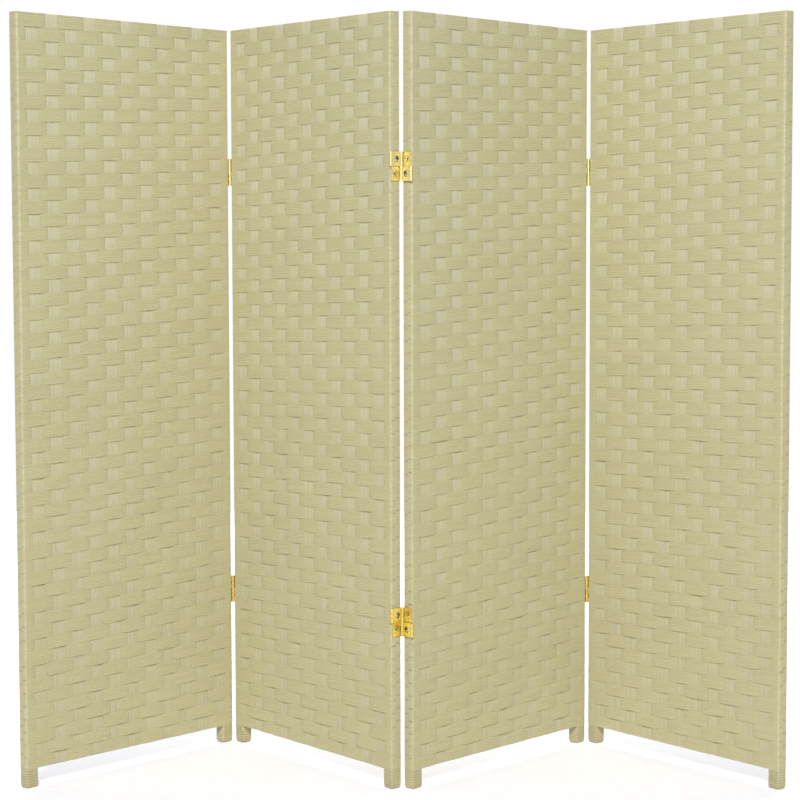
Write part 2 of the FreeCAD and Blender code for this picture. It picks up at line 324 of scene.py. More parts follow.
def paint_shade_into_paper(nodes, at, colour, past_corner, gloom, top_gloom):
    """Painted shade where a strand lies deep, as a shadow on its upper edge below a float, between strands
    past a corner and in the grooves.
    """
    cord, depth, groove = at["cord"], at["depth"], at["groove"]
    # Painted shade: where a strand lies deep, as a shadow along a level strand's upper edge below a float,
    # between strands past a corner and in the grooves, stronger towards the floor.
    hidden = nodes.rise(depth, *HIDDEN) * gloom
    top_edge = nodes.rise(cord, *TOP_EDGE) * top_gloom
    below_float = nodes.rise(depth, *BELOW_FLOAT) * top_edge
    row_end = nodes.clamp(1 - nodes.math("MINIMUM", cord, CORDS - cord) / ROW_END)
    edge_line = row_end * nodes.clamp(past_corner / MM) * EDGE_LINE_SHADE
    uneven = nodes.clamp(nodes.noise(at["here"], SHADE_GRAIN, 2.0) * SHADE_CONTRAST - 1)
    amount = SHADE_LEAST + uneven * SHADE_CHANCE
    shade_sum = (hidden + below_float + edge_line) * amount * (SHADE_AT_FLOOR - at["height"] * SHADE_FALL)
    shade_share = nodes.clamp(shade_sum + groove * groove * GROOVE_SHADE)
    return nodes.blend(shade_share, colour, SHADE_TINT, "MULTIPLY")


print("dust grows from a depth of", HIDDEN[0])

# %% Finish the paper cord
COVER_ROUND = 1.5 * MM
WEFT_TONES = ((0.425, 0.392, 0.222, 1), (0.525, 0.491, 0.298, 1))
WARP_TONES = ((0.400, 0.363, 0.207, 1), (0.600, 0.575, 0.405, 1))


def emboss(nodes, shader, relief, strength, depth):
    """Give a finish a relief that is too fine for its shape."""
    bump = {"Strength": strength, "Distance": depth, "Height": relief}
    nodes.put(shader.inputs["Normal"], nodes.add("ShaderNodeBump", None, bump, "Normal"))


def paper_cord(name, tones, contrast, top_light_share, gloom, top_gloom, corner):
    """Twisted paper cord between two tones, painted lighter towards the top, with painted shade where it
    lies deep and past a corner, and a painted highlight along the corner.
    """
    material, nodes, shader = new_material(name)
    at = cord_facts(nodes)
    past_corner = nodes.math("ABSOLUTE", at["run"]) - corner
    colour = paper_tone(nodes, at, tones, contrast, top_light_share)
    colour = shade_and_highlight_past_corner(nodes, at, colour, past_corner)
    colour = paint_shade_into_paper(nodes, at, colour, past_corner, gloom, top_gloom)
    nodes.put(shader.inputs["Base Color"], colour)
    nodes.put(shader.inputs["Roughness"], 0.66 + at["streaks"] * 0.22)
    shader.inputs["Specular IOR Level"].default_value = 0.32
    shader.inputs["Sheen Weight"].default_value = 0.08
    shader.inputs["Sheen Roughness"].default_value = 0.5
    emboss(nodes, shader, at["twist"] * 0.5 + at["streaks"] * 1.2, strength=0.35, depth=0.25 * MM)
    return material


weft_finish = paper_cord("weft_cord", WEFT_TONES, contrast=0.75, top_light_share=0.25, gloom=0.0, top_gloom=0.5,
                         corner=WIDTH / 2 - COVER_ROUND)
warp_finish = paper_cord("warp_cord", WARP_TONES, contrast=0.60, top_light_share=0.32, gloom=0.5, top_gloom=0.0,
                         corner=HEIGHT)
print("finishes:", weft_finish.name, warp_finish.name, len(weft_finish.node_tree.nodes), "nodes")

# %% [markdown]
# The rule of the weave
#
# The weave is a plain basket weave of flat bundles. The upright bundles, the warps, and the level ones,
# the wefts, each have six cords side by side. Every bundle passes over one crossing bundle and under the
# next. The wefts run on round the edges of the panel, and the warps over its rails. Drawing that by hand
# is hopeless, and displacing a flat sheet can't make strands that dive under each other. A rule can: one
# tree lays a grid of points, works out from a point's number which bundle, cord and step it belongs to,
# and puts it in its place. Warp and weft are the same rule with other sizes. Chance shifts are read from
# a noise at the point's place on the face, so neighbours move together and no strand cuts through
# another. They fade out at the top and bottom, where the weave is pulled straight over the rails.

# %% Start a rule
INPUT_KINDS = {float: "NodeSocketFloat", int: "NodeSocketInt", bool: "NodeSocketBool"}


def start_rule(name, inputs):
    """A tree with these named inputs and a Material input. An input of None is an object."""
    tree = bpy.data.node_groups.new(name, "GeometryNodeTree")
    tree.interface.new_socket("Geometry", in_out="OUTPUT", socket_type="NodeSocketGeometry")
    for label, value in inputs.items():
        kind = "NodeSocketObject" if value is None else INPUT_KINDS[type(value)]
        socket = tree.interface.new_socket(label, in_out="INPUT", socket_type=kind)
        socket.default_value = value
    tree.interface.new_socket("Material", in_out="INPUT", socket_type="NodeSocketMaterial")
    nodes = Nodes(tree)
    entry = tree.nodes.new("NodeGroupInput")
    given = {label: Value(nodes, entry.outputs[label]) for label in (*inputs, "Material")}
    return nodes, given


def end_rule(nodes, geometry, material):
    """Realize what the rule made, give it its finish and pass it out of the tree."""
    whole = nodes.add("GeometryNodeRealizeInstances", None, {"Geometry": geometry})
    dressed = nodes.add("GeometryNodeSetMaterial", None, {"Geometry": whole, "Material": material})
    leave = nodes.tree.nodes.new("NodeGroupOutput")
    nodes.put(leave.inputs["Geometry"], dressed)
    return nodes.tree


print("rules can be started")

# %% Cut a grid into strands
WHOLE_MARGIN = 0.001
BETWEEN_STRANDS = 0.01
IN_A_GROOVE = 0.9


def finish_strands(nodes, given, grid):
    """Cut the grid into strands and crease it along the grooves between the cords."""
    facts = nodes.add("GeometryNodeInputNamedAttribute", {"data_type": "FLOAT_VECTOR"},
                      {"Name": "strand"})
    strand_number = nodes.split(facts)[2]
    # A face between two strands is the only one whose strand number isn't whole.
    between = nodes.math("FRACT", strand_number + WHOLE_MARGIN)
    bridge = nodes.math("GREATER_THAN", between, BETWEEN_STRANDS)
    settings = {"domain": "FACE", "mode": "EDGE_FACE"}
    cut = nodes.add("GeometryNodeDeleteGeometry", settings, {"Geometry": grid, "Selection": bridge})
    smooth = nodes.add("GeometryNodeSetShadeSmooth", {"domain": "FACE"},
                       {"Geometry": cut, "Shade Smooth": True})
    groove = nodes.add("GeometryNodeInputNamedAttribute", {"data_type": "FLOAT"}, {"Name": "groove"})
    crease = nodes.math("GREATER_THAN", groove, IN_A_GROOVE)
    creased = nodes.add("GeometryNodeStoreNamedAttribute", {"data_type": "BOOLEAN", "domain": "EDGE"},
                        {"Geometry": smooth, "Name": "sharp_edge", "Value": crease})
    return end_rule(nodes, creased, given["Material"])


print("a grid can be cut into strands")

# %% Lay the strands
# The values are those of a plain winding without crossings. A piece only gives what it has otherwise.
STRAND_INPUTS = {
    "Upright": False,
    "Face Length": 0.4,
    "Panel Thickness": 0.02,
    "Corner Round": 0.003,
    "Strands": 5,
    "Strand Pitch": 0.02,
    "Strand Width": 0.02,
    "Cords": 5,
    "Cord Height": 0.0004,
    "Crossings": 0,
    "Crossing Pitch": 1.0,
    "Phase": 0.0,
    "Rise": 0.0,
    "Float Share": 0.0,
    "Steepness": 1.0,
    "Border Level": 0.0,
    "Side Roll": 0.0,
    "Bulge": 0.0,
    "Wander": 0.0,
    "Gap Share": 0.0,
    "Row Span": 1.0,
    "Row Drift": 0.0,
    "Row Slope": 0.0,
    "Face Steps": 6,
    "Corner Steps": 3,
    "Edge Steps": 1,
    "Seed": 1.0,
}
# How fine the chance shifts are: over the face, or along a strand, from strand to strand and by seed.
DRIFT_GRAIN = 11.0
LOOSE_GRAIN = (24, 1.7, 5)
FRAY_GRAIN = (45, 3.3, 9)
FRAY_ACROSS = 0.61
# What chance does: to the height of a cord, to the lift of a loose strand and to a cord's place.
CORD_LEAST = 0.7
CORD_CHANCE = 0.6
LOOSE_LIFT = 0.4
FRAY_SHIFT = 0.02
# How sharply shifts end at the rails and the weave at its borders, and what roll and spread is left there.
RAIL_PULL = 8
BORDER_SHARPNESS = 5
BORDER_CALM = 0.35
ROLL_POWER = 4.0
# Moves the strands' numbers on from face to face, so that each face has chance tones of its own.
SEED_STRIDE = 100


def strand_rule():
    """Strands side by side over one face of a panel, each running on half way over the panel's edges."""
    nodes, given = start_rule("woven_strands", STRAND_INPUTS)
    math_node = nodes.math

    def switch(kind, level, upright):
        """One value for level strands and another for upright ones."""
        choices = {"Switch": given["Upright"], "False": level, "True": upright}
        return nodes.add("GeometryNodeSwitch", {"input_type": kind}, choices)

    # A point's number tells its step along the strands, its strand and its place across the strand.
    across_points = given["Cords"] * 2 + 1
    line_points = given["Strands"] * across_points
    border_steps = given["Corner Steps"] + given["Edge Steps"]
    number = nodes.add("GeometryNodeInputIndex")
    step = math_node("FLOOR", number / line_points)
    in_line = number - step * line_points
    strand = math_node("FLOOR", in_line / across_points)
    across = in_line - strand * across_points
    share = across / (given["Cords"] * 2)
    crown = math_node("MODULO", across, 2.0)
    off_middle = math_node("ABSOLUTE", share * 2 - 1)

    # The path: flat over the face, round the corner, then on to the middle of the edge.
    half_steps = given["Face Steps"] / 2
    half_flat = given["Face Length"] / 2 - given["Corner Round"]
    half_edge = given["Panel Thickness"] / 2 - given["Corner Round"]
    from_middle = step - half_steps - border_steps
    side = math_node("SIGN", from_middle)
    reach = math_node("ABSOLUTE", from_middle)
    flat = math_node("MINIMUM", reach, half_steps) / half_steps * half_flat
    turn = nodes.rise(reach, half_steps, given["Corner Steps"]) * (math.pi / 2)
    past_corner = math_node("MAXIMUM", reach - half_steps - given["Corner Steps"], 0.0)
    slide = past_corner / given["Edge Steps"] * half_edge
    sine = math_node("SINE", turn)
    cosine = math_node("COSINE", turn)
    along = side * (flat + given["Corner Round"] * sine)
    inward = given["Corner Round"] * (1 - cosine) + slide
    run = side * (flat + given["Corner Round"] * turn + slide)

    # Chance shifts, read at the point's place on the face.
    row = (strand - (given["Strands"] - 1) / 2) * given["Strand Pitch"]
    flat_spot = nodes.vector(along, given["Seed"], row)
    upright_spot = nodes.vector(row, given["Seed"], along)
    spot = switch("VECTOR", flat_spot, upright_spot)
    drift_x, _, drift_z = nodes.split(nodes.noise(spot, DRIFT_GRAIN, 1.0, out="Color"))
    by_run, by_strand, by_seed = LOOSE_GRAIN
    loose_spot = nodes.vector(along * by_run, strand * by_strand, given["Seed"] * by_seed)
    loose = nodes.noise(loose_spot, 1.0, 1.0)
    by_run, by_strand, by_seed = FRAY_GRAIN
    across_cords = strand * by_strand + across * FRAY_ACROSS
    fray = nodes.noise(nodes.vector(along * by_run, across_cords, given["Seed"] * by_seed), 1.0, 1.0)

    # The weft climbs as it winds round the panel, and its rows are beaten closer towards the top.
    plain_stack = row + (share - 0.5) * given["Strand Width"]
    sideways = switch("FLOAT", run, row)
    height = switch("FLOAT", plain_stack, along) / given["Row Span"] * 2
    free = 1 - height ** RAIL_PULL
    climb = given["Row Slope"] * sideways * free + given["Row Drift"] * (1 - height ** 2)

    # Over one crossing strand, under the next, and level beyond the last one.
    risen = climb * given["Upright"]
    crossing = (along - risen) / given["Crossing Pitch"] + (given["Crossings"] - 1) / 2
    past_first = nodes.clamp((crossing + 0.5) * BORDER_SHARPNESS)
    before_last = nodes.clamp((given["Crossings"] - crossing - 0.5) * BORDER_SHARPNESS)
    weaving = past_first * before_last
    wave = math_node("COSINE", (crossing + strand + given["Phase"]) * math.pi)
    swing = math_node("TANH", (wave + given["Float Share"]) * given["Steepness"])
    level = swing * weaving + given["Border Level"] * (1 - weaving)
    cords = crown * given["Cord Height"] * (CORD_LEAST + fray * CORD_CHANCE)
    calm = cosine * (BORDER_CALM + weaving * (1 - BORDER_CALM))
    roll = given["Side Roll"] * off_middle ** ROLL_POWER * calm
    slack = (loose - 0.5) * given["Rise"] * LOOSE_LIFT * cosine
    lift = level * given["Rise"] + cords - roll + slack

    # Where the point goes, in the panel's own axes.
    shift = given["Wander"] * 2 * cosine * free
    spread = given["Bulge"] * level * free - given["Gap Share"] * 2 * loose
    width = given["Strand Width"] * (1 + spread * calm)
    frayed = (fray - 0.5) * given["Strand Pitch"] * FRAY_SHIFT * cosine
    stack = row + (share - 0.5) * width + frayed
    far = along + side * sine * lift
    out = inward - given["Panel Thickness"] / 2 - cosine * lift
    level_place = nodes.vector(far, out, stack + climb + (drift_z - 0.5) * shift)
    upright_place = nodes.vector(stack + (drift_x - 0.5) * shift, out, far)
    place = switch("VECTOR", level_place, upright_place)

    steps = given["Face Steps"] + border_steps * 2 + 1
    grid = nodes.add("GeometryNodeMeshGrid", None, {"Vertices X": steps, "Vertices Y": line_points})
    deep = (0.5 - wave * 0.5) * weaving
    facts = {
        "strand": ("FLOAT_VECTOR", nodes.vector(run, across / 2, strand + given["Seed"] * SEED_STRIDE)),
        "depth": ("FLOAT", deep),
        "groove": ("FLOAT", 1 - crown),
    }
    for label, (kind, value) in facts.items():
        settings = {"data_type": kind, "domain": "POINT"}
        grid = nodes.add("GeometryNodeStoreNamedAttribute", settings,
                         {"Geometry": grid, "Name": label, "Value": value})
    grid = nodes.add("GeometryNodeSetPosition", None, {"Geometry": grid, "Position": place})
    return finish_strands(nodes, given, grid)


strands = strand_rule()
print("rule:", strands.name, "with", len(strands.nodes), "nodes")

# %% [markdown]
# From a rule to a piece
#
# A rule runs as a modifier. Its inputs are set by the sockets' identifiers before the object is first
# evaluated, and an input that a piece doesn't give keeps the rule's own value. The result is kept as a
# plain mesh, and the modifier goes. The panel's matrix then brings the mesh into the frame, so the object
# itself stays at the origin.

# %% Grow pieces from a rule


def add_object(name, data):
    """An object of the scene from a mesh, a lamp or a lens."""
    added = bpy.data.objects.new(name, data)
    bpy.context.scene.collection.objects.link(added)
    return added


def grow(name, rule, sizes, place):
    """Run a rule with these sizes and keep its result as a plain mesh in the frame."""
    holder = add_object(name + ".rule", bpy.data.meshes.new(name + ".rule"))
    modifier = holder.modifiers.new("rule", "NODES")
    modifier.node_group = rule
    for socket in rule.interface.items_tree:
        if socket.in_out == "INPUT":
            modifier[socket.identifier] = sizes.get(socket.name, socket.default_value)
    depsgraph = bpy.context.evaluated_depsgraph_get()
    mesh = bpy.data.meshes.new_from_object(holder.evaluated_get(depsgraph))
    holder.modifiers.remove(modifier)
    bpy.data.objects.remove(holder)
    mesh.name = name
    mesh.transform(place)
    return add_object(name, mesh)


print("rules can be grown")

# %% [markdown]
# The woven cover
#
# The cover has eleven warps and fifty-seven wefts on each face. Its outermost cords lie on the solid
# cover's surface, so the path of the strands is set in by the rise of a bundle and the height of a cord.
# Between the warps the rails are wrapped with more cord, deeper down, so that no timber shows at the top
# or the bottom. The two faces are grown apart, the back one as the front turned half round, and they meet
# in the middle of the panel's edges. That keeps each piece to a size that can be handled.

# %% Weave the panels
WARPS = 11
WEFTS = 57
RISE = 0.6 * MM
CORD_HEIGHT = 0.45 * MM
INSET = RISE + CORD_HEIGHT
CORNER_ROUND = COVER_ROUND - INSET
WARP_PITCH = (WIDTH - 2 * (INSET + CORNER_ROUND)) / (WARPS + 0.5)
WEFT_PITCH = HEIGHT / WEFTS
STEPS_PER_WARP = 8
STEPS_PER_WEFT = 4
BORDER_STEPS = 4
# Half way round the panel a weft climbs by five of its six cords, so that cords meet cords at the edges.
HALF_WAY_ROUND = WIDTH + THICKNESS - 4 * INSET - (4 - math.pi) * CORNER_ROUND
ROW_SLOPE = WEFT_PITCH * (1 - 1 / CORDS) / HALF_WAY_ROUND
ROW_DRIFTS = {1: 10 * MM, 2: 4 * MM, 3: 2 * MM, 4: 9 * MM}
# Each face's name, its turn and what it adds to the seed.
FACES = (("front", Matrix.Identity(4), 0.0), ("back", Matrix.Rotation(math.pi, 4, "Z"), 0.5))
TO_MIDDLE = Matrix.Translation((0, 0, COVER_FOOT + HEIGHT / 2))

WEAVE = {
    "Panel Thickness": THICKNESS - 2 * INSET,
    "Corner Round": CORNER_ROUND,
    "Cord Height": CORD_HEIGHT,
    "Rise": RISE,
    "Wander": 1.6 * MM,
    "Row Span": HEIGHT,
    "Row Slope": ROW_SLOPE,
}
WEFT = WEAVE | {
    "Face Length": WIDTH - 2 * INSET,
    "Strands": WEFTS,
    "Strand Pitch": WEFT_PITCH,
    "Strand Width": WEFT_PITCH,
    "Cords": CORDS,
    "Crossings": WARPS,
    "Crossing Pitch": WARP_PITCH,
    "Float Share": 0.38,
    "Steepness": 2.6,
    "Border Level": 1.0,
    "Bulge": 0.05,
    "Face Steps": STEPS_PER_WARP * WARPS + BORDER_STEPS,
    "Material": weft_finish,
}
WARP = WEAVE | {
    "Upright": True,
    "Face Length": HEIGHT - 2 * INSET,
    "Strands": WARPS,
    "Strand Pitch": WARP_PITCH,
    "Strand Width": 24 * MM,
    "Cords": CORDS,
    "Crossings": WEFTS,
    "Crossing Pitch": WEFT_PITCH,
    "Phase": 1.08,
    "Steepness": 1.8,
    "Border Level": 1.0,
    "Side Roll": 0.12 * MM,
    "Gap Share": 0.02,
    "Face Steps": STEPS_PER_WEFT * WEFTS,
    "Material": warp_finish,
}
RAIL_WRAP = WARP | {
    "Corner Round": 1.0 * MM,
    "Strands": WARPS + 1,
    "Strand Width": 16 * MM,
    "Cord Height": 0.25 * MM,
    "Cords": 4,
    "Crossings": 0,
    "Border Level": -1.0,
    "Side Roll": 0.0,
    "Gap Share": 0.0,
    "Wander": 0.0,
    "Face Steps": 2,
}


def weave_panel(panel):
    """The strands of both faces of one panel."""
    made = []
    for face, turn, seed in FACES:
        own = {"Seed": panel + seed, "Row Drift": ROW_DRIFTS[panel]}
        place = PLACES[panel] @ turn @ TO_MIDDLE
        for kind, sizes in (("wefts", WEFT), ("warps", WARP), ("rail_wraps", RAIL_WRAP)):
            piece = grow(f"panel_{panel}_{face}_{kind}", strands, sizes | own, place)
            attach(piece, f"panel_{panel}")
            made.append(piece)
    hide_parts(f"panel_{panel}_woven_cover")
    return made


for panel in PANELS:
    for piece in weave_panel(panel):
        print(piece.name, len(piece.data.polygons), "faces")

# %% [markdown]
# The belt under the strands
#
# Between the bundles a real panel shows no daylight, because the cords are packed tight and a second
# woven face lies behind. Here a plain belt just under the strands does that. It follows the same rounded
# outline and is closed over the rails. Its colour is painted dark, as painted shade, so that the chinks
# between the strands read as shadow.

# %% Close the chinks
BELT_INSET = 1.9 * MM
BELT_ROUND = 0.5 * MM
BELT_CORNER_STEPS = 3
# Painted shade: the belt is coloured dark so that the chinks read as shadow.
BELT_SHADE_TONES = ((0.20, 0.17, 0.09, 1), (0.29, 0.26, 0.15, 1))
BELT_GRAIN = 60.0


def shaded_paper(name):
    """The same paper deep between the strands, painted dark as paper in shade."""
    material, nodes, shader = new_material(name)
    shade_share = nodes.noise(nodes.here(), BELT_GRAIN, 3.0)
    nodes.put(shader.inputs["Base Color"], nodes.blend(shade_share, *BELT_SHADE_TONES))
    shader.inputs["Roughness"].default_value = 0.9
    return material


def rounded_outline(width, thickness, radius, steps):
    """Points of a rounded rectangle, anticlockwise."""
    points = []
    for quarter, (sx, sy) in enumerate(((1, 1), (-1, 1), (-1, -1), (1, -1))):
        corner = Vector((sx * (width / 2 - radius), sy * (thickness / 2 - radius)))
        for step in range(steps + 1):
            angle = (quarter + step / steps) * math.pi / 2
            points.append(corner + radius * Vector((math.cos(angle), math.sin(angle))))
    return points


def join_rings(form, lower, upper):
    """Faces between two closed rows of points of the same number."""
    for here in range(len(lower)):
        beyond = (here + 1) % len(lower)
        form.faces.new((lower[here], lower[beyond], upper[beyond], upper[here]))


def drawn_mesh(name, form):
    """A mesh from a form that is drawn to its end."""
    mesh = bpy.data.meshes.new(name)
    form.to_mesh(mesh)
    form.free()
    return mesh


def make_belt(panel):
    """A belt round the panel, just under its strands."""
    width, thickness = WIDTH - 2 * BELT_INSET, THICKNESS - 2 * BELT_INSET
    outline = rounded_outline(width, thickness, BELT_ROUND, BELT_CORNER_STEPS)
    low, high = COVER_FOOT + BELT_INSET, COVER_FOOT + HEIGHT - BELT_INSET
    form = bmesh.new()
    lower, upper = [[form.verts.new((p.x, p.y, z)) for p in outline] for z in (low, high)]
    join_rings(form, lower, upper)
    form.faces.new(reversed(lower))
    form.faces.new(upper)
    mesh = drawn_mesh(f"panel_{panel}_weave_belt", form)
    mesh.materials.append(belt_finish)
    mesh.transform(PLACES[panel])
    return add_object(mesh.name, mesh)


belt_finish = shaded_paper("paper_in_shade")
for panel in PANELS:
    belt = make_belt(panel)
    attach(belt, f"panel_{panel}")
print("belts:", len(PANELS))

# %% [markdown]
# The feet
#
# Below the cover each stile runs on as a short foot, wound with the same cord. The winding is the weave's
# rule once more, without any crossings: seven single cords over half of a foot. A second rule tucks the
# lowest turn in under the foot's end and sets that half down four times for each panel, as the front and
# the back of both feet. The feet are painted darker all over, as painted shade, with painted shade along
# the lines between the turns, so their finish starts its shaded part before the middle of the face.

# %% Wind the feet
sleeve_low, sleeve_high = local_box("panel_1_foot_sleeves", PLACES[1])
stile_low, stile_high = local_box("panel_1_right_stile", PLACES[1])
FOOT_CENTRE = (stile_low.x + stile_high.x) / 2
FOOT_WIDTH = 2 * (sleeve_high.x - FOOT_CENTRE)
FOOT_HEIGHT = sleeve_high.z - sleeve_low.z
FOOT_TURNS = 7
FOOT_CORD = 0.45 * MM
FOOT_CORD_HEIGHT = FOOT_CORD * 0.8
FOOT_ROUND = 2.0 * MM
TUCK_HEIGHT = 5.0 * MM
TUCK_SHARE = 0.1
# Puts the whole foot past the corner, so all of it is painted darker as painted shade.
EDGE_SHADE_ALL_OVER = -5.0 * MM
FOOT = {
    "Face Length": FOOT_WIDTH - 2 * FOOT_CORD,
    "Panel Thickness": THICKNESS - 2 * FOOT_CORD,
    "Corner Round": FOOT_ROUND - FOOT_CORD,
    "Strands": FOOT_TURNS,
    "Strand Pitch": FOOT_HEIGHT / FOOT_TURNS,
    "Strand Width": FOOT_HEIGHT / FOOT_TURNS,
    "Cords": 1,
    "Cord Height": FOOT_CORD_HEIGHT,
    "Rise": 0.05 * MM,
    "Edge Steps": 2,
    "Seed": 7.0,
}
HALVES = 4


def foot_rule():
    """Half a winding, set down as the front and back of both feet of a panel."""
    nodes, given = start_rule("wound_feet", {"Foot Centre": 0.2})
    half = nodes.add("GeometryNodeGroup", {"node_tree": strands}, FOOT | {"Material": given["Material"]})
    x, y, z = nodes.split(nodes.add("GeometryNodeInputPosition"))
    lowness = nodes.clamp((TUCK_HEIGHT - FOOT_HEIGHT / 2 - z) / TUCK_HEIGHT)
    tuck = 1 - lowness * lowness * TUCK_SHARE
    tucked = {"Geometry": half, "Position": nodes.vector(x * tuck, y * tuck, z)}
    half = nodes.add("GeometryNodeSetPosition", None, tucked)
    number = nodes.add("GeometryNodeInputIndex")
    second = nodes.math("MODULO", number, 2.0)
    place = nodes.vector((second * 2 - 1) * given["Foot Centre"], 0.0, 0.0)
    turn = nodes.vector(0.0, 0.0, nodes.math("FLOOR", number / 2) * math.pi)
    points = nodes.add("GeometryNodePoints", None, {"Count": HALVES, "Position": place})
    halves = nodes.add("GeometryNodeInstanceOnPoints", None,
                       {"Points": points, "Instance": half, "Rotation": turn})
    return end_rule(nodes, halves, given["Material"])


wound_feet = foot_rule()
foot_finish = paper_cord("foot_cord", WEFT_TONES, contrast=0.75, top_light_share=0.25, gloom=0.0, top_gloom=0.0,
                         corner=EDGE_SHADE_ALL_OVER)
feet_sizes = {"Foot Centre": FOOT_CENTRE, "Material": foot_finish}
middle_height = Matrix.Translation((0, 0, sleeve_low.z + FOOT_HEIGHT / 2))
for panel in PANELS:
    feet = grow(f"panel_{panel}_wound_feet", wound_feet, feet_sizes, PLACES[panel] @ middle_height)
    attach(feet, f"panel_{panel}")
    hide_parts(f"panel_{panel}_foot_sleeves")
print("feet:", len(PANELS), "pairs,", len(feet.data.polygons), "faces each")

# %% [markdown]
# The frame's timber
#
# Under the weave is a frame of plain softwood. Only the ends of the feet show of it. The solids are right
# as they are and only get a finish: long streaks along the grain and finer pores in them. The grain runs
# up the stiles and along the rails, so the pattern is turned for each.

# %% Finish the timber
TIMBER_DARK = (0.36, 0.28, 0.16, 1)
TIMBER_LIGHT = (0.52, 0.43, 0.27, 1)
GRAIN_STRETCH = (160, 160, 6)
PORES_IN_GRAIN = 7.0
GRAIN_FROM = 0.3
GRAIN_CONTRAST = 2.2
PORE_CONTRAST = 0.5


def dress(node, material):
    """Give a node of the frame a finish, and leave its mesh alone."""
    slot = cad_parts[node].material_slots[0]
    slot.link = "OBJECT"
    slot.material = material


def timber(name, turn):
    """Softwood with its grain along Z once the pattern is turned."""
    material, nodes, shader = new_material(name)
    turned = {"Vector": nodes.here(), "Rotation": turn}
    lying = nodes.add("ShaderNodeMapping", None, turned, out="Vector")
    stretched = nodes.stretch(lying, GRAIN_STRETCH)
    grain = nodes.noise(stretched, 1.0, 4.0)
    pores = nodes.noise(stretched, PORES_IN_GRAIN, 2.0)
    tone = nodes.clamp((grain - GRAIN_FROM) * GRAIN_CONTRAST + (pores - 0.5) * PORE_CONTRAST)
    nodes.put(shader.inputs["Base Color"], nodes.blend(tone, TIMBER_DARK, TIMBER_LIGHT))
    nodes.put(shader.inputs["Roughness"], 0.75 - grain * 0.2)
    emboss(nodes, shader, grain + pores * 0.5, strength=0.3, depth=0.2 * MM)
    return material


stile_finish = timber("stile_timber", (0, 0, 0))
for panel in PANELS:
    heading = PLACES[panel].to_euler().z
    rail_finish = timber(f"rail_timber_{panel}", (0, math.pi / 2, -heading))
    for piece, finish in (("left_stile", stile_finish), ("right_stile", stile_finish),
                          ("top_rail", rail_finish), ("bottom_rail", rail_finish)):
        dress(f"panel_{panel}_{piece}", finish)
print("timber: stiles and rails of", len(PANELS), "panels")

# %% [markdown]
# Brass hinges
#
# The hinges are bright plated brass sheet: satin, with faint brush lines along the strip it was cut from
# and small dull spots where hands and tools have touched it. The upper ones are painted paler than the
# lower ones, as painted light. A mirror finish would look like plastic foil, so the roughness changes a
# little from spot to spot. Where plates, knuckles and hole walls meet, brown shade is painted into the
# colour, most of all on the middle hinges, which stand out in front. It could be drawn at each of those
# places, but a node that measures how open a point lies finds them all by itself. The leaves, links and
# pins keep their own shapes.

# %% Finish the brass
BRASS_ABOVE = (0.89, 0.78, 0.38, 1)
BRASS_BELOW = (0.85, 0.68, 0.17, 1)
BRASS_SPOTS = (0.90, 0.87, 0.76, 1)
BRASS_SHADE = (0.17, 0.11, 0.02, 1)
PALER_FROM = 0.45
PALER_PER_METRE = 3
SPOT_GRAIN = 140.0
SPOTS_FROM = 1.3
SPOT_CONTRAST = 1.6
BRUSH_STRETCH = (2500, 2500, 40)
BRASS_SHADE_REACH = 3.0 * MM
MIDDLE_SHADE = 1.3
OUTER_SHADE = 0.1
OPEN_ENOUGH = 0.92
OPENNESS_SAMPLES = 8


def painted_occlusion(nodes, colour, dark, reach, strength):
    """A colour painted dark where other surfaces stand close, as painted shade."""
    settings = {"samples": OPENNESS_SAMPLES}
    # Painted shade: darker where other surfaces stand close, as an occlusion node measures it.
    openness = nodes.add("ShaderNodeAmbientOcclusion", settings, {"Distance": reach}, "AO")
    return nodes.blend(nodes.clamp((OPEN_ENOUGH - openness) * strength), colour, dark)


def plated_brass(name, shade_strength):
    """Bright brass plate with brush lines up the sheet, painted paler higher up and with so much painted
    shade in its corners.
    """
    material, nodes, shader = new_material(name)
    here = nodes.here()
    spots = nodes.noise(here, SPOT_GRAIN, 3.0)
    lines = nodes.noise(nodes.stretch(here, BRUSH_STRETCH), 1.0, 2.0)
    height = nodes.split(here)[2]
    # Painted light: the brass is paler higher up and deeper in colour lower down.
    paler = nodes.clamp((height - PALER_FROM) * PALER_PER_METRE)
    dull = nodes.clamp(SPOTS_FROM - spots * SPOT_CONTRAST)
    colour = nodes.blend(paler, BRASS_BELOW, BRASS_ABOVE)
    colour = nodes.blend(dull, colour, BRASS_SPOTS, "MULTIPLY")
    colour = painted_occlusion(nodes, colour, BRASS_SHADE, BRASS_SHADE_REACH, shade_strength)
    nodes.put(shader.inputs["Base Color"], colour)
    nodes.put(shader.inputs["Roughness"], 0.20 + spots * 0.08 + lines * 0.06)
    shader.inputs["Metallic"].default_value = 1.0
    emboss(nodes, shader, lines, strength=0.05, depth=0.05 * MM)
    return material


middle_brass = plated_brass("middle_hinge_brass", MIDDLE_SHADE)
outer_brass = plated_brass("outer_hinge_brass", OUTER_SHADE)
brass_nodes = [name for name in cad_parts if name.endswith(("_leaf", "_link", "_hinge_pins"))]
for name in brass_nodes:
    dress(name, middle_brass if name.startswith("middle_fold") else outer_brass)
print("brass:", len(brass_nodes), "nodes")

# %% [markdown]
# The screws
#
# Two countersunk steel screws hold each leaf. Their heads show through the holes in the links, each with
# a cross recess that stopped at some angle of its own, and shade is painted on them in the recess and
# towards the walls of the holes.
# One screw is drawn, with its recess cut in, and a rule sets it down at every place where the frame has a
# screw. The places and the way each screw points are read from the solids.

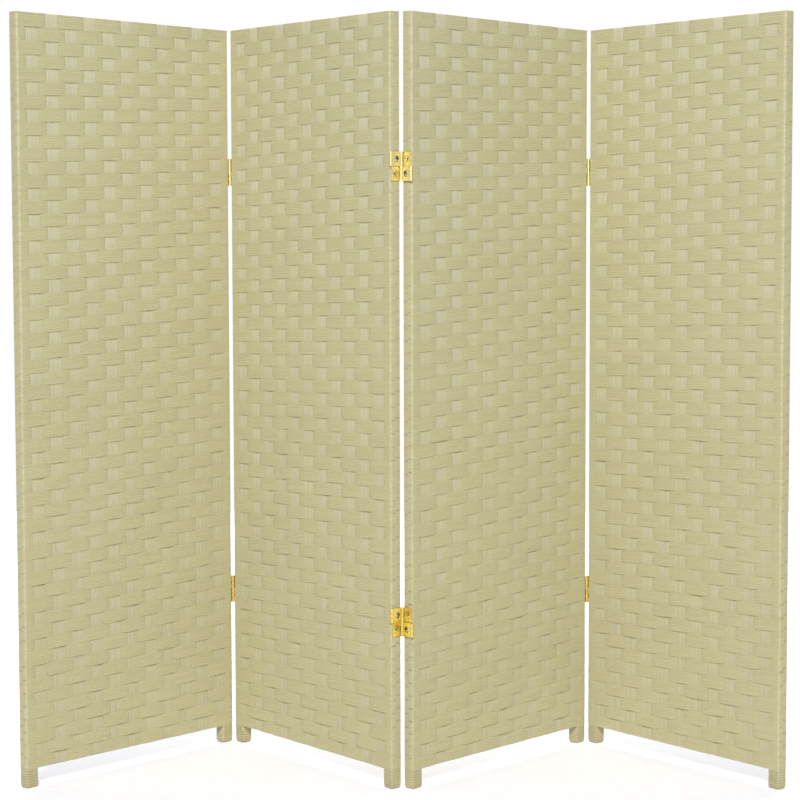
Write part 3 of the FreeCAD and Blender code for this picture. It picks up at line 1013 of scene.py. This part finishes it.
# %% Draw one screw
HEAD_RADIUS = 3.5 * MM
SHANK_RADIUS = 1.4 * MM
PLATE = 1.2 * MM
SCREW_LENGTH = 16 * MM
TIP_LENGTH = 4 * MM
RECESS_REACH = 2.0 * MM
RECESS_HALF = 0.45 * MM
RECESS_DEPTH = 1.2 * MM
RECESS_TAPER = 0.7
DOME = 0.2 * MM
ROUND_STEPS = 24


def cross_outline(reach, half):
    """The twelve corners of a cross, anticlockwise."""
    points = []
    for quarter in range(4):
        turn = Matrix.Rotation(quarter * math.pi / 2, 2)
        for x, y in ((reach, -half), (reach, half), (half, half)):
            points.append(turn @ Vector((x, y)))
    return points


def ring(form, radius, height):
    """Points round the Z axis."""
    turns = [math.tau * step / ROUND_STEPS for step in range(ROUND_STEPS)]
    return [form.verts.new((radius * math.cos(turn), radius * math.sin(turn), height)) for turn in turns]


def draw_screw():
    """A countersunk screw along Z, the rim of its head at Z = 0."""
    form = bmesh.new()
    rim = ring(form, HEAD_RADIUS, 0)
    neck = ring(form, SHANK_RADIUS, -PLATE)
    end = ring(form, SHANK_RADIUS, TIP_LENGTH - SCREW_LENGTH)
    join_rings(form, neck, rim)
    join_rings(form, end, neck)
    tip = form.verts.new((0, 0, -SCREW_LENGTH))
    for here in range(ROUND_STEPS):
        form.faces.new((tip, end[(here + 1) % ROUND_STEPS], end[here]))
    top = [form.verts.new((p.x, p.y, DOME)) for p in cross_outline(RECESS_REACH, RECESS_HALF)]
    floor_outline = cross_outline(RECESS_REACH * RECESS_TAPER, RECESS_HALF * RECESS_TAPER)
    bottom = [form.verts.new((p.x, p.y, DOME - RECESS_DEPTH)) for p in floor_outline]
    join_rings(form, bottom, top)
    form.faces.new(bottom)
    pairs = [(row[i - 1], row[i]) for row in (rim, top) for i in range(len(row))]
    edges = [form.edges.get(pair) for pair in pairs]
    bmesh.ops.triangle_fill(form, use_beauty=True, edges=edges)
    bmesh.ops.recalc_face_normals(form, faces=form.faces)
    return drawn_mesh("screw", form)


screw_mesh = draw_screw()
print("screw:", len(screw_mesh.polygons), "faces")

# %% Set the screws
# How far each of a panel's eight screws is turned.
SPINS = (0.3, 1.1, 0.7, 0.1, 1.4, 0.5, 0.9, 1.2)
SAME_POINT = 0.001 * MM
STEEL_LIGHT = (0.86, 0.85, 0.81, 1)
STEEL_DARK = (0.50, 0.48, 0.44, 1)
STEEL_SHADE = (0.05, 0.04, 0.02, 1)
STEEL_GRAIN = 500.0
STEEL_SHADE_REACH = 4.0 * MM
STEEL_SHADE_STRENGTH = 3.0


def islands(node):
    """The separate solids of a node, each as a list of points."""
    form = bmesh.new()
    form.from_mesh(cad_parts[node].data)
    bmesh.ops.remove_doubles(form, verts=form.verts, dist=SAME_POINT)
    left = set(form.verts)
    found = []
    while left:
        todo = [left.pop()]
        points = []
        while todo:
            vert = todo.pop()
            points.append(vert.co.copy())
            near = [edge.other_vert(vert) for edge in vert.link_edges]
            todo += [other for other in near if other in left]
            left.difference_update(near)
        found.append(points)
    form.free()
    return found


def screw_places(panel):
    """Points at the middle of each screw head, with the turn that points a screw outward there."""
    to_local = PLACES[panel].inverted()
    spots = []
    for points in islands(f"panel_{panel}_hinge_screws"):
        local = [to_local @ point for point in points]
        side = 1 if local[0].x > 0 else -1
        head = side * max(side * point.x for point in local)
        depth = (min(p.y for p in local) + max(p.y for p in local)) / 2
        height = (min(p.z for p in local) + max(p.z for p in local)) / 2
        spots.append({"side": side, "place": Vector((head, depth, height))})
    spots.sort(key=lambda spot: (spot["side"], spot["place"].z))
    turns = []
    for spin, spot in zip(SPINS, spots):
        outward = Matrix.Rotation(spot["side"] * math.pi / 2, 3, "Y") @ Matrix.Rotation(spin, 3, "Z")
        turns += outward.to_euler()
    mesh = bpy.data.meshes.new("screw_places")
    mesh.from_pydata([spot["place"] for spot in spots], [], [])
    attribute = mesh.attributes.new("turn", "FLOAT_VECTOR", "POINT")
    attribute.data.foreach_set("vector", turns)
    return mesh


def screw_rule():
    """One drawn screw at every point, turned as the point says."""
    nodes, given = start_rule("set_screws", {"Places": None, "Screw": None})
    places = nodes.add("GeometryNodeObjectInfo", None, {"Object": given["Places"]}, "Geometry")
    screw = nodes.add("GeometryNodeObjectInfo", None, {"Object": given["Screw"]}, "Geometry")
    turn = nodes.add("GeometryNodeInputNamedAttribute", {"data_type": "FLOAT_VECTOR"}, {"Name": "turn"})
    screws = nodes.add("GeometryNodeInstanceOnPoints", None,
                       {"Points": places, "Instance": screw, "Rotation": turn})
    return end_rule(nodes, screws, given["Material"])


def bright_steel(name):
    """Plated steel with spots, and painted shade in the recess and near the walls of the hole."""
    material, nodes, shader = new_material(name)
    spots = nodes.noise(nodes.here(), STEEL_GRAIN, 3.0)
    colour = nodes.blend(spots, STEEL_DARK, STEEL_LIGHT)
    # Painted shade: the recess and the rim by the hole's wall are darkened.
    colour = painted_occlusion(nodes, colour, STEEL_SHADE, STEEL_SHADE_REACH, STEEL_SHADE_STRENGTH)
    nodes.put(shader.inputs["Base Color"], colour)
    nodes.put(shader.inputs["Roughness"], 0.08 + spots * 0.2)
    shader.inputs["Metallic"].default_value = 1.0
    return material


set_screws = screw_rule()
steel = bright_steel("screw_steel")
pattern = add_object("screw_pattern", screw_mesh)
for panel in PANELS:
    places = add_object("screw_places", screw_places(panel))
    screw_sizes = {"Places": places, "Screw": pattern, "Material": steel}
    screws = grow(f"panel_{panel}_cross_screws", set_screws, screw_sizes, PLACES[panel])
    bpy.data.objects.remove(places)
    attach(screws, f"panel_{panel}")
    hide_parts(f"panel_{panel}_hinge_screws")
    print(screws.name, len(screws.data.polygons), "faces")
bpy.data.objects.remove(pattern)

# %% [markdown]
# The floor, the light and the camera
#
# The screen stands in a plain white studio. Nearly all of the light comes from one lamp high in front,
# which gives the strands their slight shading. A broad, weaker one behind the camera puts the bright
# lines on the knuckles. Two more keep the floor pale. It also has a slight cool glow of its own, against
# the warm light that the panels throw on it, which is seen but lights nothing. A dim surround fills the
# folds. Bright metal mirrors its surround, so for mirrored rays the surround is brighter, and the camera
# sees it as the studio's white wall. The camera looks at the screen from a little above its middle, with
# a long lens.

# %% Set up the studio
FLOOR_WHITE = (0.95, 0.95, 0.96, 1)
FLOOR_GLOW = (0.06, 0.065, 0.13, 1)
NO_GLOW = (0, 0, 0, 1)
FLOOR_LOW = Vector((-3.2, -3.0, 0))
FLOOR_HIGH = Vector((3.2, 3.4, 0))
SURROUND_LIGHT = 0.18
MIRRORED_LIGHT = 0.55
# Each light's name, place, aim, size and power.
LIGHTS = (
    ("high_front_light", (-0.4, -12.0, 8.7), (0, 0, 0.6), (4.2, 2.6), 1920),
    ("low_front_light", (0.1, -5.2, 1.0), (0, 0, 0.8), (2.2, 1.6), 36),
    ("overhead_light", (0, 0, 3.6), (0, 0, 0), (3.0, 2.4), 28),
    ("rear_floor_light", (0, 2.6, 3.2), (0, 2.6, 0), (4.0, 2.4), 160),
)


def make_floor():
    """A wide plain floor under the screen."""
    form = bmesh.new()
    low, high = FLOOR_LOW, FLOOR_HIGH
    corners = ((low.x, low.y), (high.x, low.y), (high.x, high.y), (low.x, high.y))
    form.faces.new([form.verts.new((x, y, 0)) for x, y in corners])
    mesh = drawn_mesh("studio_floor", form)
    material, nodes, shader = new_material("pale_floor")
    shader.inputs["Base Color"].default_value = FLOOR_WHITE
    seen = nodes.add("ShaderNodeLightPath", out="Is Camera Ray")
    nodes.put(shader.inputs["Emission Color"], nodes.blend(seen, NO_GLOW, FLOOR_GLOW))
    shader.inputs["Emission Strength"].default_value = 1.0
    shader.inputs["Roughness"].default_value = 0.8
    mesh.materials.append(material)
    floor = add_object("studio_floor", mesh)


def add_light(name, place, aim, size, power):
    """A soft area light that points at a spot."""
    lamp = bpy.data.lights.new(name, "AREA")
    lamp.shape = "RECTANGLE"
    lamp.size, lamp.size_y = size
    lamp.energy = power
    light = add_object(name, lamp)
    light.location = place
    light.rotation_euler = (Vector(aim) - Vector(place)).to_track_quat("-Z", "Y").to_euler()


make_floor()
surround = bpy.data.worlds.new("studio_surround")
surround.use_nodes = True
nodes = Nodes(surround.node_tree)
seen, mirrored = nodes.add("ShaderNodeLightPath", out=("Is Camera Ray", "Is Glossy Ray"))
backdrop = surround.node_tree.nodes["Background"]
backdrop.inputs["Color"].default_value = (1, 1, 1, 1)
brightness = SURROUND_LIGHT + seen * (1 - SURROUND_LIGHT) + mirrored * MIRRORED_LIGHT
nodes.put(backdrop.inputs["Strength"], brightness)
bpy.context.scene.world = surround
bpy.context.scene.view_settings.view_transform = "Standard"
for light in LIGHTS:
    add_light(*light)
print("studio:", len(LIGHTS), "lights")

# %% Place the camera
FRAME_PIXELS = 800
FOCAL_PIXELS = 2238.6
AXIS_PIXEL = 475.0
CAMERA_PLACE = Vector((0.1387, -3.6592, 0.8724))
CAMERA_YAW = -0.0069
CAMERA_PITCH = -0.0731
SENSOR_WIDTH = 36.0

lens = bpy.data.cameras.new("camera")
lens.sensor_width = SENSOR_WIDTH
lens.lens = FOCAL_PIXELS / FRAME_PIXELS * SENSOR_WIDTH
lens.shift_x = 0.5 - AXIS_PIXEL / FRAME_PIXELS
camera = add_object("camera", lens)
camera.location = CAMERA_PLACE
camera.rotation_euler = (math.pi / 2 + CAMERA_PITCH, 0, -CAMERA_YAW)
bpy.context.scene.camera = camera
print("camera lens", round(lens.lens, 1), "mm, shift", round(lens.shift_x, 4))
